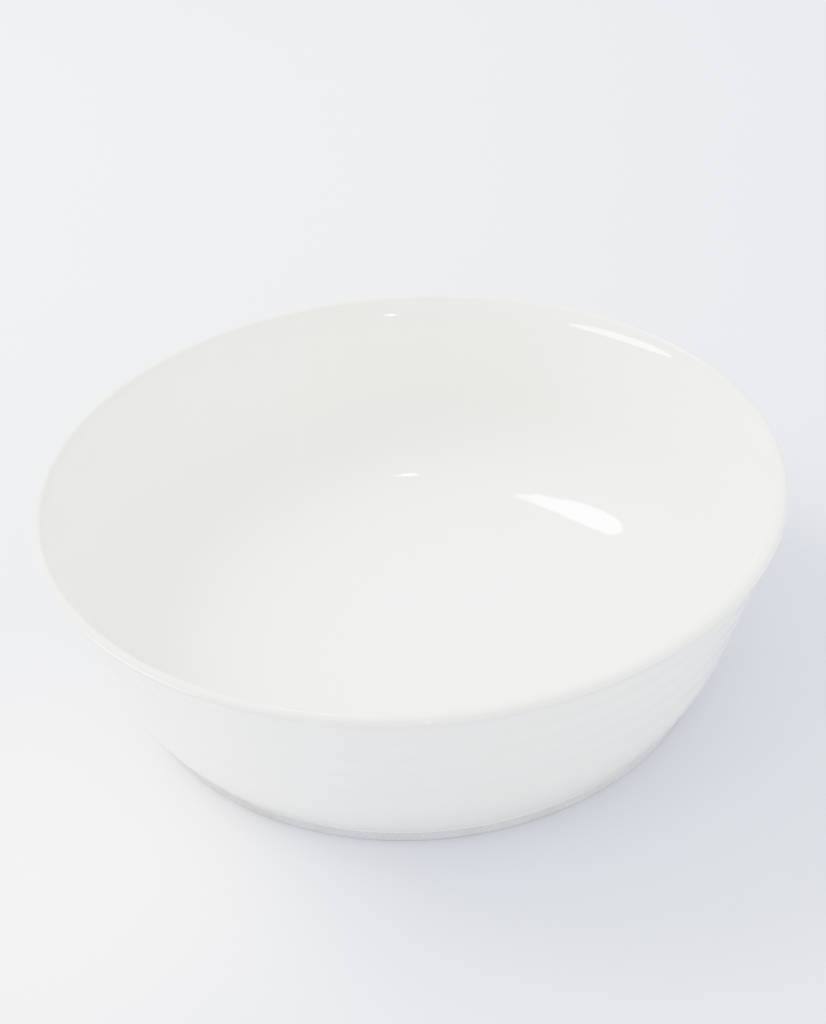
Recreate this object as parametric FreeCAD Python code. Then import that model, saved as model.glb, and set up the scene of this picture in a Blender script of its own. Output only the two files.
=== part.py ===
import FreeCAD, Part
import math
import os

# Porcelain serving bowl. Millimetres, +Z up. The origin is on the axis of the bowl, in the plane
# of the face that it rests on. Every piece is a solid of revolution about Z, so each one is drawn
# as a closed outline in the half plane (radius, height) and turned through a full circle.

# Overall size
RIM_RADIUS = 127.0        # outermost point of the rolled lip
HEIGHT = 74.0             # resting face to the crest of the lip
GLAZE = 0.3               # thickness of the fired glaze

# Rolled lip: a round bead outside, a tighter crest, and an inner side that eases into the wall
BEAD_RADIUS = 2.0
CREST_RADIUS = 1.6
EASE_RADIUS = 25.0
EASE_START = math.radians(60.0)      # how far the crest has dipped where the inner side takes over

# Outer wall: it leans outwards, and rounded bands with narrow grooves between them run around it
LEAN = math.radians(15.0)             # from vertical
GROOVE_DEPTHS = (14.2, 22.6, 31.3, 40.2)           # each groove's distance below the crest
BAND_CROWNS = (0.45, 0.38, 0.30, 0.18)             # how far each band above a groove stands out
WALL_FOOT = (114.0, 28.3)             # the straight wall ends here and the belly begins

# Belly and shoulder, where the wall rounds under in a wide arc and then a tight one
BELLY_RADIUS = 85.0
BELLY_END = math.radians(30.0)        # the lean where the belly hands over to the shoulder
SHOULDER_RADIUS = 12.0

# Foot ring and the shallow well inside it
FOOT_OUTER_RADIUS = 103.2
FOOT_INNER_RADIUS = 97.8
FOOT_EDGE = 0.8           # rounding of the bare clay beside the resting face
GLAZE_LINE = 3.9          # the glaze stops this far above the resting face
WELL_HEIGHT = 4.2         # roof of the well, at the axis
WELL_RADIUS = 6300.0      # the roof is a very shallow dome
WELL_FILLET = 2.0

# Inside: a barely dished floor, a wide bend at its edge and a rounder cove up to the wall
FLOOR_HEIGHT = 8.4        # at the axis
FLOOR_RADIUS = 1500.0
BEND_RADIUS = 130.0
BEND_END = math.radians(15.0)         # the slope where the bend hands over to the cove
COVE_RADIUS = 30.0

FULL_TURN = 360.0


def add(a, b, scale=1.0):
    """Point a plus scale times vector b, in the (radius, height) plane."""
    return (a[0] + scale * b[0], a[1] + scale * b[1])


def dot(a, b):
    return a[0] * b[0] + a[1] * b[1]


def on_circle(centre, radius, angle):
    """The point of a circle whose outward normal is at this angle above the +radius direction."""
    return add(centre, (math.cos(angle), math.sin(angle)), radius)


def vector(p):
    return FreeCAD.Vector(p[0], 0.0, p[1])


def line(a, b):
    return Part.makeLine(vector(a), vector(b))


def arc_through(a, middle, b):
    return Part.Arc(vector(a), vector(middle), vector(b)).toShape()


def arc(centre, radius, start, end):
    """Circular edge from angle start to angle end."""
    points = [on_circle(centre, radius, t) for t in (start, 0.5 * (start + end), end)]
    return arc_through(*points)


# Directions along and square to the leaning wall
UP_WALL = (math.sin(LEAN), math.cos(LEAN))
OUT_OF_WALL = (math.cos(LEAN), -math.sin(LEAN))

# Lip centres
LIP_RADIUS = RIM_RADIUS - BEAD_RADIUS
BEAD_CENTRE = (LIP_RADIUS, HEIGHT - BEAD_RADIUS)
CREST_CENTRE = (LIP_RADIUS, HEIGHT - CREST_RADIUS)
EASE_CENTRE = on_circle(CREST_CENTRE, EASE_RADIUS - CREST_RADIUS, EASE_START - math.pi / 2)

# The belly touches the leaning wall, and the shoulder touches the belly
BELLY_CENTRE = add(WALL_FOOT, OUT_OF_WALL, -BELLY_RADIUS)
SHOULDER_CENTRE = on_circle(BELLY_CENTRE, BELLY_RADIUS - SHOULDER_RADIUS, -BELLY_END)

# The lower end of the eased inner side, where it becomes the straight inner wall
INNER_WALL_ANGLE = math.pi - LEAN
INNER_WALL_TOP = on_circle(EASE_CENTRE, EASE_RADIUS, INNER_WALL_ANGLE)

# The dished floor and the domed roof of the well are both centred on the axis
FLOOR_CENTRE = (0.0, FLOOR_HEIGHT + FLOOR_RADIUS)
ROOF_CENTRE = (0.0, WELL_HEIGHT - WELL_RADIUS)


def bend_centre():
    """Centre of the bend: it touches the dished floor, and its cove touches the inner wall."""
    top = add(add(INNER_WALL_TOP, OUT_OF_WALL, -COVE_RADIUS), COVE_TO_BEND)
    gap = (top[0] - FLOOR_CENTRE[0], top[1] - FLOOR_CENTRE[1])
    along = dot(gap, UP_WALL)
    reach = FLOOR_RADIUS - BEND_RADIUS
    slide = along + math.sqrt(along ** 2 - dot(gap, gap) + reach ** 2)
    return add(top, UP_WALL, -slide)


BEND_END_ANGLE = BEND_END - math.pi / 2
COVE_TO_BEND = on_circle((0.0, 0.0), COVE_RADIUS - BEND_RADIUS, BEND_END_ANGLE)
BEND_CENTRE = bend_centre()
COVE_CENTRE = add(BEND_CENTRE, COVE_TO_BEND, -1.0)
FLOOR_END_ANGLE = math.atan2(BEND_CENTRE[1] - FLOOR_CENTRE[1], BEND_CENTRE[0])


def fillet_centre():
    """Centre of the fillet that touches the foot ring's inner face and the roof of the well."""
    radius = FOOT_INNER_RADIUS - WELL_FILLET
    drop = math.sqrt((WELL_RADIUS - WELL_FILLET) ** 2 - radius ** 2)
    return (radius, ROOF_CENTRE[1] + drop)


FILLET_CENTRE = fillet_centre()
ROOF_EDGE_ANGLE = math.atan2(FILLET_CENTRE[1] - ROOF_CENTRE[1], FILLET_CENTRE[0])


def wall_point(height, inset):
    """Point at this height on the line that joins the bottoms of the grooves."""
    base = add(WALL_FOOT, OUT_OF_WALL, -inset)
    return add(base, UP_WALL, (height - base[1]) / UP_WALL[1])


def under_bead(inset):
    """Where the bead meets the line of the grooves, below the lip."""
    base = add(WALL_FOOT, OUT_OF_WALL, -inset)
    gap = (BEAD_CENTRE[0] - base[0], BEAD_CENTRE[1] - base[1])
    across = dot(gap, OUT_OF_WALL)
    half_chord = math.sqrt((BEAD_RADIUS - inset) ** 2 - across ** 2)
    return add(base, UP_WALL, dot(gap, UP_WALL) - half_chord)


def inside_edges(inset):
    """Floor, bend, cove, inner wall, and the lip's inner side and crest."""
    cove_top = on_circle(COVE_CENTRE, COVE_RADIUS + inset, -LEAN)
    wall_top = on_circle(EASE_CENTRE, EASE_RADIUS - inset, INNER_WALL_ANGLE)
    crest_end = math.pi / 2 + EASE_START
    return [
        arc(FLOOR_CENTRE, FLOOR_RADIUS + inset, -math.pi / 2, FLOOR_END_ANGLE),
        arc(BEND_CENTRE, BEND_RADIUS + inset, FLOOR_END_ANGLE, BEND_END_ANGLE),
        arc(COVE_CENTRE, COVE_RADIUS + inset, BEND_END_ANGLE, -LEAN),
        line(cove_top, wall_top),
        arc(EASE_CENTRE, EASE_RADIUS - inset, INNER_WALL_ANGLE, crest_end),
        arc(CREST_CENTRE, CREST_RADIUS - inset, crest_end, math.pi / 2),
    ]


def band_edges(inset):
    """The rounded bands, from the underside of the bead down to the lowest groove."""
    edges = []
    upper = under_bead(inset)
    for depth, crown in zip(GROOVE_DEPTHS, BAND_CROWNS):
        lower = wall_point(HEIGHT - depth, inset)
        middle = (0.5 * (upper[0] + lower[0]), 0.5 * (upper[1] + lower[1]))
        edges.append(arc_through(upper, add(middle, OUT_OF_WALL, crown), lower))
        upper = lower
    edges.append(line(upper, add(WALL_FOOT, OUT_OF_WALL, -inset)))
    return edges


def outside_edges(inset, foot_height):
    """Bead, bands, belly, shoulder and the foot ring's outer face, down to foot_height."""
    bead_end = under_bead(inset)
    bead_angle = math.atan2(bead_end[1] - BEAD_CENTRE[1], bead_end[0] - BEAD_CENTRE[0])
    foot_face = FOOT_OUTER_RADIUS - inset
    shoulder = SHOULDER_RADIUS - inset
    shoulder_end = -math.acos((foot_face - SHOULDER_CENTRE[0]) / shoulder)
    foot_top = on_circle(SHOULDER_CENTRE, shoulder, shoulder_end)
    bead = arc(BEAD_CENTRE, BEAD_RADIUS - inset, math.pi / 2, bead_angle)
    belly = arc(BELLY_CENTRE, BELLY_RADIUS - inset, -LEAN, -BELLY_END)
    turn_under = arc(SHOULDER_CENTRE, shoulder, -BELLY_END, shoulder_end)
    foot = line(foot_top, (foot_face, foot_height))
    return [bead] + band_edges(inset) + [belly, turn_under, foot]


def well_edges(inset):
    """The fillet inside the foot ring and the domed roof, to the axis."""
    return [
        arc(FILLET_CENTRE, WELL_FILLET + inset, 0.0, ROOF_EDGE_ANGLE),
        arc(ROOF_CENTRE, WELL_RADIUS + inset, ROOF_EDGE_ANGLE, math.pi / 2),
    ]


def bare_foot_edges():
    """The unglazed clay: the resting face, its two rounded edges and the low inner face."""
    outer = FOOT_OUTER_RADIUS - GLAZE
    inner = FOOT_INNER_RADIUS + GLAZE
    outer_centre = (outer - FOOT_EDGE, FOOT_EDGE)
    inner_centre = (inner + FOOT_EDGE, FOOT_EDGE)
    return [
        arc(outer_centre, FOOT_EDGE, 0.0, -math.pi / 2),
        line((outer_centre[0], 0.0), (inner_centre[0], 0.0)),
        arc(inner_centre, FOOT_EDGE, -math.pi / 2, -math.pi),
        line((inner, FOOT_EDGE), (inner, FILLET_CENTRE[1])),
    ]


def turned(edges):
    """The solid that a closed outline sweeps in a full turn about the axis."""
    wire = Part.Wire(Part.__sortEdges__(edges))
    face = Part.Face(wire)
    axis_point = FreeCAD.Vector(0, 0, 0)
    axis = FreeCAD.Vector(0, 0, 1)
    swept = face.revolve(axis_point, axis, FULL_TURN)
    solid = swept.Solids[0] if swept.Solids else Part.Solid(swept.Shells[0])
    if solid.Volume < 0:
        solid.reverse()
    return solid


def porcelain_body():
    """The fired clay: everything under the glaze, with the foot ring left bare."""
    edges = inside_edges(GLAZE) + outside_edges(GLAZE, FOOT_EDGE)
    edges += bare_foot_edges() + well_edges(GLAZE)
    edges.append(line((0.0, WELL_HEIGHT + GLAZE), (0.0, FLOOR_HEIGHT - GLAZE)))
    return turned(edges)


def main_glaze():
    """One coat over the inside, the lip and the outside, down to the foot ring's bare edge."""
    glaze_end = (FOOT_OUTER_RADIUS, GLAZE_LINE + GLAZE)
    clay_end = (FOOT_OUTER_RADIUS - GLAZE, GLAZE_LINE)
    edges = inside_edges(0.0) + outside_edges(0.0, glaze_end[1])
    edges += inside_edges(GLAZE) + outside_edges(GLAZE, clay_end[1])
    edges.append(line(glaze_end, clay_end))
    edges.append(line((0.0, FLOOR_HEIGHT), (0.0, FLOOR_HEIGHT - GLAZE)))
    return turned(edges)


def foot_well_glaze():
    """The separate coat of glaze on the underside, inside the bare foot ring."""
    start = FILLET_CENTRE[1]
    edges = well_edges(0.0) + well_edges(GLAZE)
    edges.append(line((FOOT_INNER_RADIUS, start), (FOOT_INNER_RADIUS + GLAZE, start)))
    edges.append(line((0.0, WELL_HEIGHT), (0.0, WELL_HEIGHT + GLAZE)))
    return turned(edges)


NODES = {
    "porcelain_body": porcelain_body,
    "main_glaze": main_glaze,
    "foot_well_glaze": foot_well_glaze,
}

os.makedirs("parts", exist_ok=True)
for node, make in NODES.items():
    make().exportStep("parts/" + node + ".step")
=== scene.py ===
import math

import bmesh
import bpy
from mathutils import Matrix, Vector, noise


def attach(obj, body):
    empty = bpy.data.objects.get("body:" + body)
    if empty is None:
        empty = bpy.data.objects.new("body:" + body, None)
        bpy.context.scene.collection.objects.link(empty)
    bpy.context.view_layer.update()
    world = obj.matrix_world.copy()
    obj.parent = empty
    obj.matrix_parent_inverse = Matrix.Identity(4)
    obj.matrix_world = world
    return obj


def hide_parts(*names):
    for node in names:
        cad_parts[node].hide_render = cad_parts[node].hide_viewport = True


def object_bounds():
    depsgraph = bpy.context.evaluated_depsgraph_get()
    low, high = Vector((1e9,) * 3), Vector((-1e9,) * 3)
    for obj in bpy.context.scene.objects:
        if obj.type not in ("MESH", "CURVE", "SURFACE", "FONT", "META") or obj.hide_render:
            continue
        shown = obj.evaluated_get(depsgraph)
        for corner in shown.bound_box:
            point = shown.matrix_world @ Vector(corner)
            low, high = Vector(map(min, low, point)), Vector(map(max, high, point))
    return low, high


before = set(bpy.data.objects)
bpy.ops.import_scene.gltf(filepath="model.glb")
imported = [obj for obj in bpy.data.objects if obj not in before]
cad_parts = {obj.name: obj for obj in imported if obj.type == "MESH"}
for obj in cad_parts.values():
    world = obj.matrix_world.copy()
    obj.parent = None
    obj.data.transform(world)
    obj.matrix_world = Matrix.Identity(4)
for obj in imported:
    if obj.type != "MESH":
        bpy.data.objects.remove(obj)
cad_low, cad_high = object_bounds()

RIM = cad_high.x                # radius of the lip's outermost line
HEIGHT = cad_high.z             # crest of the lip above the table
MM = 0.001

# ------------------------------------------------------------------ the bowl's outline
# Points are (radius, height) in metres. The outline follows the CAD, with the narrow grooves
# between the bands rounded out as fired glaze leaves them.

GLAZE = 0.3 * MM
BEAD_RADIUS = 2.0 * MM
CREST_RADIUS = 1.6 * MM
EASE_RADIUS = 25.0 * MM         # the lip's inner side, between its crest and the inner wall
EASE_START = math.radians(60.0)
LEAN = math.radians(15.0)
WALL_FOOT = Vector((114.0, 28.3)) * MM
BELLY_RADIUS = 85.0 * MM
BELLY_END = math.radians(30.0)
SHOULDER_RADIUS = 12.0 * MM
FOOT_OUTER_RADIUS = 103.2 * MM
GLAZE_LINE = 3.9 * MM           # the clay is bare below this height
FLOOR_HEIGHT = 8.4 * MM
FLOOR_RADIUS = 1500.0 * MM
BEND_RADIUS = 130.0 * MM
BEND_END = math.radians(15.0)
COVE_RADIUS = 30.0 * MM
BAND_DEPTHS = [d * MM for d in (4.0, 14.2, 22.6, 31.3, 40.2)]   # where the bands meet
BAND_CROWNS = [c * MM for c in (0.45, 0.38, 0.30, 0.18)]
ROUNDING = 2.0 * MM             # how far the glaze has rounded out the corners of the outside
ROUNDED_FROM = 2.4 * MM         # the top of the lip keeps its shape down to this depth
SEGMENTS = 360                  # steps round the axis
ON_AXIS = 1e-7                  # a point nearer to the axis than this is on it

# The glaze runs thin over the lip and pools in the grooves
THIN_LIP = 4.0 * MM             # it has reached its full thickness this far below the crest
POOL_HEIGHT = 0.3 * MM          # it pools where a band stands out less than this
DEPTH_ON_WALL = 0.5             # glaze_depth on open wall, between 0 on the lip and 1 in a groove

# Its edge above the foot wanders, in waves per radian round the foot
EDGE_WANDER = 0.30 * MM
EDGE_ZONE = 1.0 * MM            # only this much glaze above the edge follows it
SLOW_WAVES, SLOW_SEED = 3.0, 0.0
QUICK_WAVES, QUICK_SEED = 14.0, 5.0
QUICK_SHARE = 0.4


def on_circle(centre, radius, angle):
    return centre + Vector((math.cos(angle), math.sin(angle))) * radius


def arc(centre, radius, start, end, steps):
    return [on_circle(centre, radius, start + (end - start) * i / steps) for i in range(steps + 1)]


def segment(a, b, steps):
    return [a.lerp(b, i / steps) for i in range(steps + 1)]


UP_WALL = Vector((math.sin(LEAN), math.cos(LEAN)))
OUT_OF_WALL = Vector((math.cos(LEAN), -math.sin(LEAN)))
BEAD_CENTRE = Vector((RIM - BEAD_RADIUS, HEIGHT - BEAD_RADIUS))
CREST_CENTRE = Vector((RIM - BEAD_RADIUS, HEIGHT - CREST_RADIUS))
EASE_CENTRE = on_circle(CREST_CENTRE, EASE_RADIUS - CREST_RADIUS, EASE_START - math.pi / 2)
INNER_WALL_TOP = on_circle(EASE_CENTRE, EASE_RADIUS, math.pi - LEAN)
BELLY_CENTRE = WALL_FOOT - OUT_OF_WALL * BELLY_RADIUS
SHOULDER_CENTRE = on_circle(BELLY_CENTRE, BELLY_RADIUS - SHOULDER_RADIUS, -BELLY_END)
FLOOR_CENTRE = Vector((0.0, FLOOR_HEIGHT + FLOOR_RADIUS))
BEND_END_ANGLE = BEND_END - math.pi / 2
COVE_TO_BEND = on_circle(Vector((0.0, 0.0)), COVE_RADIUS - BEND_RADIUS, BEND_END_ANGLE)


def bend_centre():
    """Centre of the bend: it touches the dished floor, and its cove touches the inner wall."""
    top = INNER_WALL_TOP - OUT_OF_WALL * COVE_RADIUS + COVE_TO_BEND
    gap = top - FLOOR_CENTRE
    along = gap.dot(UP_WALL)
    reach = FLOOR_RADIUS - BEND_RADIUS
    return top - UP_WALL * (along + math.sqrt(along ** 2 - gap.length_squared + reach ** 2))


BEND_CENTRE = bend_centre()
COVE_CENTRE = BEND_CENTRE - COVE_TO_BEND
FLOOR_END = math.atan2(BEND_CENTRE.y - FLOOR_CENTRE.y, BEND_CENTRE.x)


def inside_points():
    """From the axis out over the floor, up the bend, cove and wall, and over to the lip's crest."""
    crest_end = math.pi / 2 + EASE_START
    points = arc(FLOOR_CENTRE, FLOOR_RADIUS, -math.pi / 2, FLOOR_END, steps=40)
    points += arc(BEND_CENTRE, BEND_RADIUS, FLOOR_END, BEND_END_ANGLE, steps=24)[1:]
    points += arc(COVE_CENTRE, COVE_RADIUS, BEND_END_ANGLE, -LEAN, steps=36)[1:]
    points += segment(points[-1], INNER_WALL_TOP, steps=16)[1:]
    points += arc(EASE_CENTRE, EASE_RADIUS, math.pi - LEAN, crest_end, steps=14)[1:]
    points += arc(CREST_CENTRE, CREST_RADIUS, crest_end, math.pi / 2, steps=12)[1:]
    return points


def band_height(depth):
    """How far the wall stands out from the line of the groove bottoms, this deep under the crest."""
    for top, bottom, crown in zip(BAND_DEPTHS, BAND_DEPTHS[1:], BAND_CROWNS):
        if top <= depth <= bottom:
            across_band = 2.0 * (depth - top) / (bottom - top) - 1.0
            return crown * (1.0 - across_band * across_band)
    return 0.0


def under_bead():
    """Where the bead meets the line of the groove bottoms."""
    gap = BEAD_CENTRE - WALL_FOOT
    half_chord = math.sqrt(BEAD_RADIUS ** 2 - gap.dot(OUT_OF_WALL) ** 2)
    return WALL_FOOT + UP_WALL * (gap.dot(UP_WALL) - half_chord)


def wall_points(top, steps):
    """The banded wall from under the bead down to where the belly starts."""
    groove_line = segment(top, WALL_FOOT, steps)[1:]
    return [p + OUT_OF_WALL * band_height(HEIGHT - p.y) for p in groove_line]


def smooth(x):
    x = min(max(x, 0.0), 1.0)
    return x * x * (3.0 - 2.0 * x)


def rounded(points):
    """The outline with its corners rounded out, as a coat of fired glaze leaves them.

    Each pass moves a point halfway to the middle of its neighbours, so these passes together
    spread a corner over ROUNDING on either side.
    """
    spacing = (points[-1] - points[0]).length / len(points)
    passes = round(2.0 * (ROUNDING / spacing) ** 2)
    for _ in range(passes):
        before = [points[0]] + points[:-1]
        after = points[1:] + [points[-1]]
        softer = []
        for a, p, b in zip(before, points, after):
            share = 0.5 * smooth((HEIGHT - p.y) / ROUNDED_FROM - 1.0)
            softer.append(p.lerp((a + b) / 2.0, share))
        softer[0], softer[-1] = points[0], points[-1]
        points = softer
    return points


def outside_points():
    """From the crest round the bead, down the bands, the belly, the shoulder and the foot ring."""
    bead_end = under_bead()
    bead_angle = math.atan2(bead_end.y - BEAD_CENTRE.y, bead_end.x - BEAD_CENTRE.x)
    foot_angle = -math.acos((FOOT_OUTER_RADIUS - SHOULDER_CENTRE.x) / SHOULDER_RADIUS)
    glaze_edge = Vector((FOOT_OUTER_RADIUS, GLAZE_LINE + GLAZE))
    bead = arc(BEAD_CENTRE, BEAD_RADIUS, math.pi / 2, bead_angle, steps=20)
    points = rounded(bead + wall_points(bead_end, steps=170))
    points += arc(BELLY_CENTRE, BELLY_RADIUS, -LEAN, -BELLY_END, steps=30)[1:]
    points += arc(SHOULDER_CENTRE, SHOULDER_RADIUS, -BELLY_END, foot_angle, steps=16)[1:]
    points += segment(points[-1], glaze_edge, steps=6)[1:]
    return points


def inset_points(points, distance):
    """The same outline moved into the clay."""
    moved = []
    for i, p in enumerate(points):
        before = points[max(i - 1, 0)]
        after = points[min(i + 1, len(points) - 1)]
        along = (after - before).normalized()
        moved.append(p + Vector((along.y, -along.x)) * distance)
    moved[0].x = 0.0
    return moved


def waves_round_foot(turn, waves, seed):
    return noise.noise(Vector((waves * math.cos(turn), waves * math.sin(turn), seed)))


def edge_drop(p, turn):
    """How far the wandering edge of the glaze hangs below its mean line, next to the foot."""
    near_edge = 1.0 - (p.y - GLAZE_LINE) / EDGE_ZONE
    if near_edge < 0.0:
        return 0.0
    slow = waves_round_foot(turn, SLOW_WAVES, SLOW_SEED)
    quick = waves_round_foot(turn, QUICK_WAVES, QUICK_SEED)
    return EDGE_WANDER * near_edge * (slow + QUICK_SHARE * quick)


def glaze_depth(outline):
    """How thickly the glaze lies at each point, from 0 on the lip to 1 in a groove."""
    crest = max(range(len(outline)), key=lambda i: outline[i].y)
    depths = []
    for i, p in enumerate(outline):
        below = HEIGHT - p.y
        depth = DEPTH_ON_WALL * min(below / THIN_LIP, 1.0)
        if i > crest and BAND_DEPTHS[0] < below < BAND_DEPTHS[-1]:
            pooled = max(1.0 - band_height(below) / POOL_HEIGHT, 0.0)
            depth = max(depth, DEPTH_ON_WALL + (1.0 - DEPTH_ON_WALL) * pooled)
        depths.append(depth)
    return depths


def lathe(name, outline, depths):
    """A mesh turned about the axis from an outline, with the glaze's thickness on its points."""
    bm = bmesh.new()
    thickness = bm.verts.layers.float.new("glaze_depth")
    rings = []
    for p, depth in zip(outline, depths):
        turns = SEGMENTS if p.x > ON_AXIS else 1
        ring = []
        for i in range(turns):
            turn = 2.0 * math.pi * i / SEGMENTS
            height = p.y - edge_drop(p, turn)
            point = bm.verts.new((p.x * math.cos(turn), p.x * math.sin(turn), height))
            point[thickness] = depth
            ring.append(point)
        rings.append(ring)
    for a, b in zip(rings, rings[1:]):
        for i in range(SEGMENTS):
            j = (i + 1) % SEGMENTS
            if len(a) == 1:
                corners = (a[0], b[j], b[i])
            elif len(b) == 1:
                corners = (a[i], a[j], b[0])
            else:
                corners = (a[i], a[j], b[j], b[i])
            bm.faces.new(corners)
    bmesh.ops.recalc_face_normals(bm, faces=bm.faces)
    mesh = bpy.data.meshes.new(name)
    bm.to_mesh(mesh)
    bm.free()
    mesh.shade_smooth()
    piece = bpy.data.objects.new(name, mesh)
    bpy.context.scene.collection.objects.link(piece)
    return piece


# ------------------------------------------------------------------ materials

WHITE = (1.0, 1.0, 1.0)
LIP_COLOUR = (0.865, 0.857, 0.785)
WALL_COLOUR = (0.912, 0.905, 0.862)
POOL_COLOUR = (0.90, 0.897, 0.868)
COOL_PATCH = (0.985, 0.99, 1.0)
WARM_PATCH = (1.0, 0.995, 0.98)
SPECK_COLOUR = (0.80, 0.77, 0.70)
PORCELAIN_IOR = 1.5
PLAIN_SPECULAR = 0.5            # the shader's own level
DEEP_FROM = 1.5                 # glossy bounces: two or more are deep

# The bare clay is painted greyer than fired porcelain: painted shade for the dark gap under the
# shoulder, over its own grit
SHADED_GRIT_DARK = (0.64, 0.64, 0.635)
SHADED_GRIT_LIGHT = (0.76, 0.76, 0.75)
DUST_COLOUR = (0.84, 0.80, 0.75)

# The table's colour carries painted shade: it darkens from TABLE_LEFT towards the right and front,
# where the light falls off and the bowl's shadow lies
TABLE_LEFT = (0.845, 0.872, 0.925)
TABLE_SHADED_RIGHT = (0.72, 0.745, 0.795)
TABLE_MOTTLE = (0.985, 0.985, 0.985)
SHADE_FADE_WIDTH = 0.45
SHADE_SLANT = 0.60               # the painted shade comes sooner at the front than at the back
# A painted pool of light on the table beside the bowl's front left, whitest at its middle
PAINTED_LIGHT_COLOUR = (1.0, 0.99, 1.0)
PAINTED_LIGHT_PLACE = (-0.125, -0.10, 0.0)
PAINTED_LIGHT_REACH = 0.15

MIX_FACTOR, MIX_A, MIX_B = 0, 6, 7      # a Mix node's inputs when it mixes colours
MIX_RESULT = 2


class Nodes:
    """Small helper that fills the node tree of one material or world."""

    def __init__(self, owner, output):
        owner.use_nodes = True
        self.owner = owner
        self.tree = owner.node_tree
        self.tree.nodes.clear()
        self.output = self.add(output)

    def add(self, kind, **values):
        node = self.tree.nodes.new(kind)
        for key, value in values.items():
            setattr(node, key, value)
        return node

    def feed(self, socket, value):
        """Link a socket to another node's output, or set it to a number or colour."""
        if isinstance(value, bpy.types.NodeSocket):
            self.tree.links.new(value, socket)
        elif socket.type == "RGBA":
            socket.default_value = (*value, 1.0)
        else:
            socket.default_value = value

    def put(self, node, **inputs):
        for key, value in inputs.items():
            self.feed(node.inputs[key.replace("_", " ")], value)
        return node

    def coordinates(self, kind):
        return self.add("ShaderNodeTexCoord").outputs[kind]

    def along_axes(self, vector):
        return self.put(self.add("ShaderNodeSeparateXYZ"), Vector=vector).outputs

    def noise(self, scale, detail=2.0, roughness=0.5):
        """Noise fixed to the object, in cells per metre."""
        node = self.add("ShaderNodeTexNoise")
        place = self.coordinates("Object")
        self.put(node, Vector=place, Scale=scale, Detail=detail, Roughness=roughness)
        return node.outputs["Fac"]

    def ramp(self, factor, *stops):
        """Colours along a ramp; each stop is a position and a colour."""
        node = self.put(self.add("ShaderNodeValToRGB"), Fac=factor)
        elements = node.color_ramp.elements
        while len(elements) < len(stops):
            elements.new(1.0)
        for element, (position, colour) in zip(elements, stops):
            element.position = position
            element.color = (*colour, 1.0)
        return node.outputs["Color"]

    def mix(self, a, b, factor, blend="MIX"):
        node = self.add("ShaderNodeMix", data_type="RGBA", blend_type=blend)
        self.feed(node.inputs[MIX_FACTOR], factor)
        self.feed(node.inputs[MIX_A], a)
        self.feed(node.inputs[MIX_B], b)
        return node.outputs[MIX_RESULT]

    def tint(self, colour, other, strength=1.0):
        """One colour multiplied by another."""
        return self.mix(colour, other, strength, "MULTIPLY")

    def span(self, factor, low, high, start=0.0, end=1.0, interpolation="LINEAR"):
        """A number from low to high as the factor goes from start to end."""
        node = self.add("ShaderNodeMapRange", interpolation_type=interpolation)
        self.put(node, Value=factor, From_Min=start, From_Max=end, To_Min=low, To_Max=high)
        return node.outputs["Result"]

    def calculate(self, kind, operation, *values):
        """The result of a Math or Vector Math node that gives a number."""
        node = self.add(kind, operation=operation)
        for socket, value in zip(node.inputs, values):
            self.feed(socket, value)
        return node.outputs["Value"]

    def bump(self, height, strength, distance, below=None):
        node = self.put(self.add("ShaderNodeBump"), Height=height, Strength=strength)
        self.put(node, Distance=distance)
        if below is not None:
            self.put(node, Normal=below)
        return node.outputs["Normal"]

    def finish(self, kind, **inputs):
        """Show this shader, and give back the material or world."""
        shader = self.put(self.add(kind), **inputs)
        self.tree.links.new(shader.outputs[0], self.output.inputs["Surface"])
        return self.owner


def material_nodes(name):
    return Nodes(bpy.data.materials.new(name), "ShaderNodeOutputMaterial")


def glazed_porcelain(name):
    """White clay under clear glaze: creamier on the lip, and faintly cooler where it pools."""
    n = material_nodes(name)
    depth = n.add("ShaderNodeAttribute", attribute_name="glaze_depth").outputs["Fac"]
    by_depth = n.ramp(depth, (0.0, LIP_COLOUR), (DEPTH_ON_WALL, WALL_COLOUR), (1.0, POOL_COLOUR))
    unevenness = n.noise(scale=11.0, detail=3.0)
    patches = n.ramp(unevenness, (0.35, COOL_PATCH), (0.65, WARM_PATCH))
    grains = n.noise(scale=700.0, detail=1.0)
    specks = n.ramp(grains, (0.0, WHITE), (0.79, WHITE), (0.83, SPECK_COLOUR))
    waves = n.bump(n.noise(scale=45.0), strength=0.10, distance=0.0008)
    skin = n.bump(n.noise(scale=420.0), strength=0.04, distance=0.0002, below=waves)
    # After two mirror images the glaze is seen as plain white, so none ends in black under the lip
    mirrored = n.add("ShaderNodeLightPath").outputs["Glossy Depth"]
    deep = n.calculate("ShaderNodeMath", "GREATER_THAN", mirrored, DEEP_FROM)
    return n.finish(
        "ShaderNodeBsdfPrincipled",
        Base_Color=n.tint(n.tint(by_depth, patches), specks, strength=0.5),
        Roughness=n.span(n.noise(scale=60.0, detail=3.0), low=0.02, high=0.06),
        IOR=PORCELAIN_IOR,
        Specular_IOR_Level=n.span(deep, low=PLAIN_SPECULAR, high=0.0),
        Normal=skin,
    )


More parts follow.
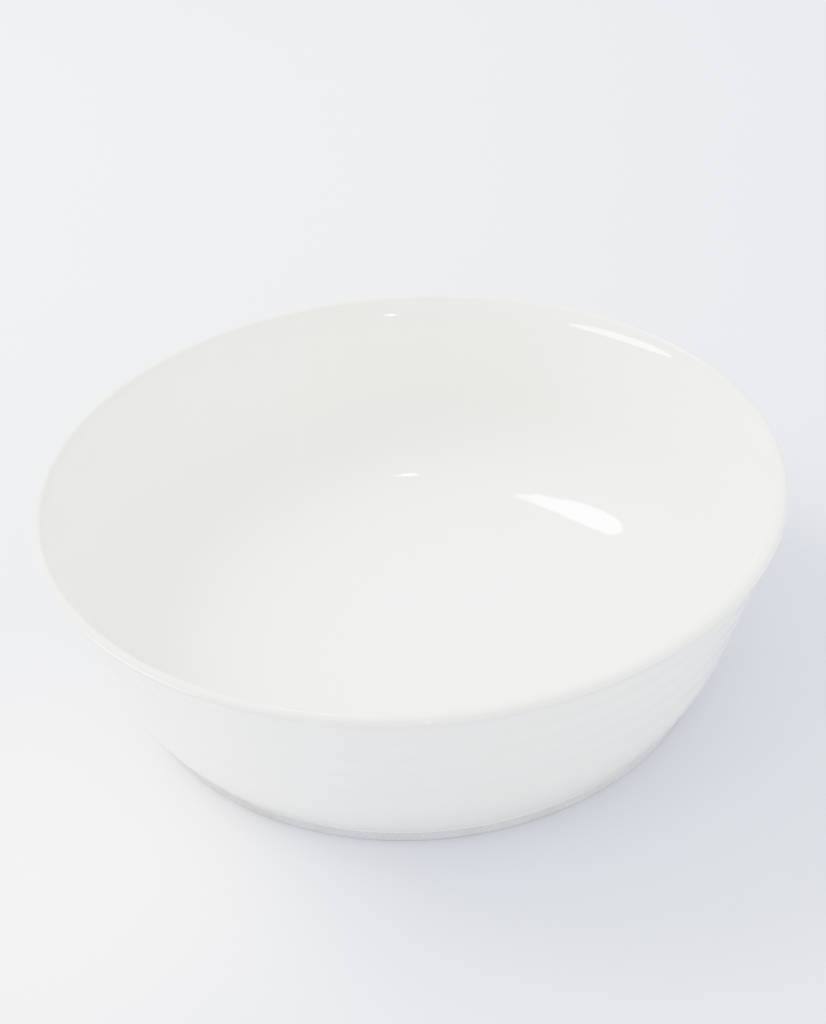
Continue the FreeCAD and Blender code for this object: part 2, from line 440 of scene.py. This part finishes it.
def bare_clay_with_painted_shade(name):
    """Unglazed fired clay: fine grit, scuffs from the grinding wheel and a little kiln dust, all in
    a grey that is painted shade for the gap under the shoulder.
    """
    n = material_nodes(name)
    grit = n.noise(scale=1400.0, detail=4.0)
    # grey grit: the clay's own grain, darkened as painted shade
    base = n.ramp(grit, (0.3, SHADED_GRIT_DARK), (0.7, SHADED_GRIT_LIGHT))
    smudges = n.noise(scale=60.0, detail=4.0, roughness=0.6)
    dust = n.ramp(smudges, (0.45, WHITE), (0.75, DUST_COLOUR))
    scratches = n.noise(scale=220.0, detail=5.0, roughness=0.65)
    scuffs = n.bump(scratches, strength=0.25, distance=0.0003)
    return n.finish(
        "ShaderNodeBsdfPrincipled",
        Base_Color=n.tint(base, dust, strength=0.7),
        Roughness=n.span(n.noise(scale=120.0, detail=3.0), low=0.72, high=0.95),
        Normal=n.bump(grit, strength=0.35, distance=0.00012, below=scuffs),
    )


def table_top(name):
    """A pale matte sheet with a paper grain, with a painted pool of light beside the bowl and
    painted shade that darkens it to the right.
    """
    n = material_nodes(name)
    place = n.coordinates("Object")
    axes = n.along_axes(place)
    # painted shade: the sheet darkens towards the right and front
    slant = n.calculate("ShaderNodeMath", "MULTIPLY_ADD", axes["Y"], -SHADE_SLANT, axes["X"])
    painted_shade = n.span(slant, 0.0, 1.0, -SHADE_FADE_WIDTH, SHADE_FADE_WIDTH, interpolation="SMOOTHSTEP")
    # painted light: a pool of light painted on the table beside the bowl
    away = n.calculate("ShaderNodeVectorMath", "DISTANCE", place, PAINTED_LIGHT_PLACE)
    painted_light = n.span(away, 1.0, 0.0, end=PAINTED_LIGHT_REACH, interpolation="SMOOTHERSTEP")
    sheet = n.mix(n.mix(TABLE_LEFT, TABLE_SHADED_RIGHT, painted_shade), PAINTED_LIGHT_COLOUR, painted_light)
    mottle = n.ramp(n.noise(scale=4.0, detail=3.0), (0.3, TABLE_MOTTLE), (0.7, WHITE))
    grain = n.noise(scale=500.0, detail=3.0)
    return n.finish(
        "ShaderNodeBsdfPrincipled",
        Base_Color=n.tint(sheet, mottle),
        Roughness=0.7,
        Normal=n.bump(grain, strength=0.05, distance=0.0002),
    )


# ------------------------------------------------------------------ pieces

coat = inside_points() + outside_points()[1:]
depths = glaze_depth(coat)
under_coat = inset_points(coat, GLAZE)
glaze = lathe("main_glaze_coat", coat + under_coat[::-1], depths + depths[::-1])
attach(glaze, "root")
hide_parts("main_glaze")
glaze.data.materials.append(glazed_porcelain("glazed_porcelain"))

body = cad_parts["porcelain_body"]
body.data.materials.clear()
body.data.materials.append(bare_clay_with_painted_shade("bare_clay_with_painted_shade"))
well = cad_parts["foot_well_glaze"]
well.data.materials.clear()
well.data.materials.append(glaze.data.materials[0])

# ------------------------------------------------------------------ table

TABLE = 6.0                     # half the side of the table

table_mesh = bpy.data.meshes.new("table")
table_corners = [(-TABLE, -TABLE, 0), (TABLE, -TABLE, 0), (TABLE, TABLE, 0), (-TABLE, TABLE, 0)]
table_mesh.from_pydata(table_corners, [], [(0, 1, 2, 3)])
table = bpy.data.objects.new("table", table_mesh)
bpy.context.scene.collection.objects.link(table)
table.data.materials.append(table_top("table_top"))

# ------------------------------------------------------------------ light

SOFT_LAMPS_AWAY = 1.6
WINDOWS_AWAY = 3.0
WARM_LIGHT = (1.0, 0.97, 0.93)
ROSY_LIGHT = (1.0, 0.96, 0.95)
WINDOW_LIGHT = (1.0, 0.99, 0.97)

ROOM_BRIGHT = (0.96, 0.982, 1.03)
ROOM_DIM = (0.845, 0.865, 0.905)
ROOM_LOW = (0.80, 0.79, 0.765)          # how much of that is left at the height of the table
ROOM_LOW_TOP = 0.65                     # sine of the elevation where it reaches its full level
ROOM_BRIGHT_SIDE = (-115.0, 60.0)       # azimuth and elevation that the room is brightest at


def direction(azimuth, elevation):
    a, e = math.radians(azimuth), math.radians(elevation)
    return Vector((math.cos(a) * math.cos(e), math.sin(a) * math.cos(e), math.sin(e)))


def lamp(name, azimuth, elevation, distance, size, watts, colour, glints):
    """A lamp that faces the bowl from this azimuth (0 is +X, 90 is +Y) and elevation.

    It either lights the scene and leaves no mirror image in the glaze, or only makes the image.
    """
    data = bpy.data.lights.new(name, "AREA")
    data.shape = "ELLIPSE"
    data.size, data.size_y = size
    data.energy = watts
    data.color = colour
    obj = bpy.data.objects.new(name, data)
    away = direction(azimuth, elevation)
    aim = away.to_track_quat("Z", "Y").to_matrix().to_4x4()
    centre = Vector((0.0, 0.0, 0.5 * HEIGHT))
    obj.matrix_world = Matrix.Translation(centre + away * distance) @ aim
    obj.visible_camera = False
    obj.visible_diffuse = not glints
    obj.visible_glossy = glints
    bpy.context.scene.collection.objects.link(obj)


def soft_lamp(name, azimuth, elevation, size, watts, colour):
    lamp(name, azimuth, elevation, SOFT_LAMPS_AWAY, size, watts, colour, glints=False)


def window(name, azimuth, elevation, size, watts, colour=WINDOW_LIGHT):
    lamp(name, azimuth, elevation, WINDOWS_AWAY, size, watts, colour, glints=True)


soft_lamp("key", 150, 42, size=(1.0, 1.0), watts=10.0, colour=WARM_LIGHT)
soft_lamp("kicker", 205, 55, size=(0.8, 0.8), watts=1.6, colour=ROSY_LIGHT)
soft_lamp("fill", -25, 23, size=(0.8, 0.6), watts=3.0, colour=WARM_LIGHT)
window("high_window", 97.8, 48.3, size=(0.32, 0.30), watts=4.2)
window("high_spark", 90, 56.5, size=(0.015, 0.05), watts=0.2, colour=WHITE)
window("low_window", 192, 7.3, size=(2.1, 0.52), watts=40.0)
window("low_spark", -88, 5, size=(0.20, 0.08), watts=2.5, colour=WHITE)


def room():
    """A pale room all round, brighter on one side than on the other, and dimmer low down."""
    n = Nodes(bpy.data.worlds.new("room"), "ShaderNodeOutputWorld")
    toward = n.coordinates("Generated")
    bright_side = direction(*ROOM_BRIGHT_SIDE)
    facing = n.calculate("ShaderNodeVectorMath", "DOT_PRODUCT", toward, bright_side)
    share = n.span(facing, 0.0, 1.0, start=-1.0, interpolation="SMOOTHSTEP")
    walls = n.mix(ROOM_DIM, ROOM_BRIGHT, share)
    upward = n.along_axes(toward)["Z"]
    rise = n.span(upward, 0.0, 1.0, end=ROOM_LOW_TOP, interpolation="SMOOTHSTEP")
    level = n.mix(ROOM_LOW, WHITE, rise)
    return n.finish("ShaderNodeBackground", Color=n.tint(walls, level))


bpy.context.scene.world = room()

# ------------------------------------------------------------------ camera

# The camera looks down at the bowl with a slight roll. EYE is in rim radii from the rim's centre,
# and the focal length is in the same unit as the height of the frame.
EYE = Vector((0.0076, -3.369, 2.2105))
PITCH_DOWN = math.radians(35.13)
ROLL = math.radians(3.77)
FRAME_HEIGHT = 1024.0
FOCAL = 1500.0
SENSOR = 36.0
NEAR_CLIP = 0.01

camera_data = bpy.data.cameras.new("camera")
camera = bpy.data.objects.new("camera", camera_data)
level_right = Vector((1.0, 0.0, 0.0))
level_up = Vector((0.0, math.sin(PITCH_DOWN), math.cos(PITCH_DOWN)))
right = level_right * math.cos(ROLL) - level_up * math.sin(ROLL)
up = level_right * math.sin(ROLL) + level_up * math.cos(ROLL)
camera_axes = Matrix((right, up, right.cross(up))).transposed().to_4x4()
eye_place = EYE * RIM + Vector((0.0, 0.0, HEIGHT))
camera.matrix_world = Matrix.Translation(eye_place) @ camera_axes
camera_data.sensor_width = SENSOR
camera_data.lens = SENSOR * FOCAL / FRAME_HEIGHT
camera_data.clip_start = NEAR_CLIP
bpy.context.scene.collection.objects.link(camera)
bpy.context.scene.camera = camera

# How light shows on the film: it is followed up to the greys and then rolls off softly to white
CURVE_WHITE = 3.0
COMBINED_CURVE = 3
TONE_CURVE = (
    (0.4, 0.46), (0.55, 0.59), (0.7, 0.70), (0.85, 0.785),
    (1.0, 0.845), (1.15, 0.88), (1.4, 0.92), (1.9, 0.97),
)

view = bpy.context.scene.view_settings
view.view_transform = "Standard"
view.use_curve_mapping = True
view.curve_mapping.white_level = (CURVE_WHITE, CURVE_WHITE, CURVE_WHITE)
tone = view.curve_mapping.curves[COMBINED_CURVE]
for level, shown in TONE_CURVE:
    tone.points.new(level / CURVE_WHITE, shown)
view.curve_mapping.update()
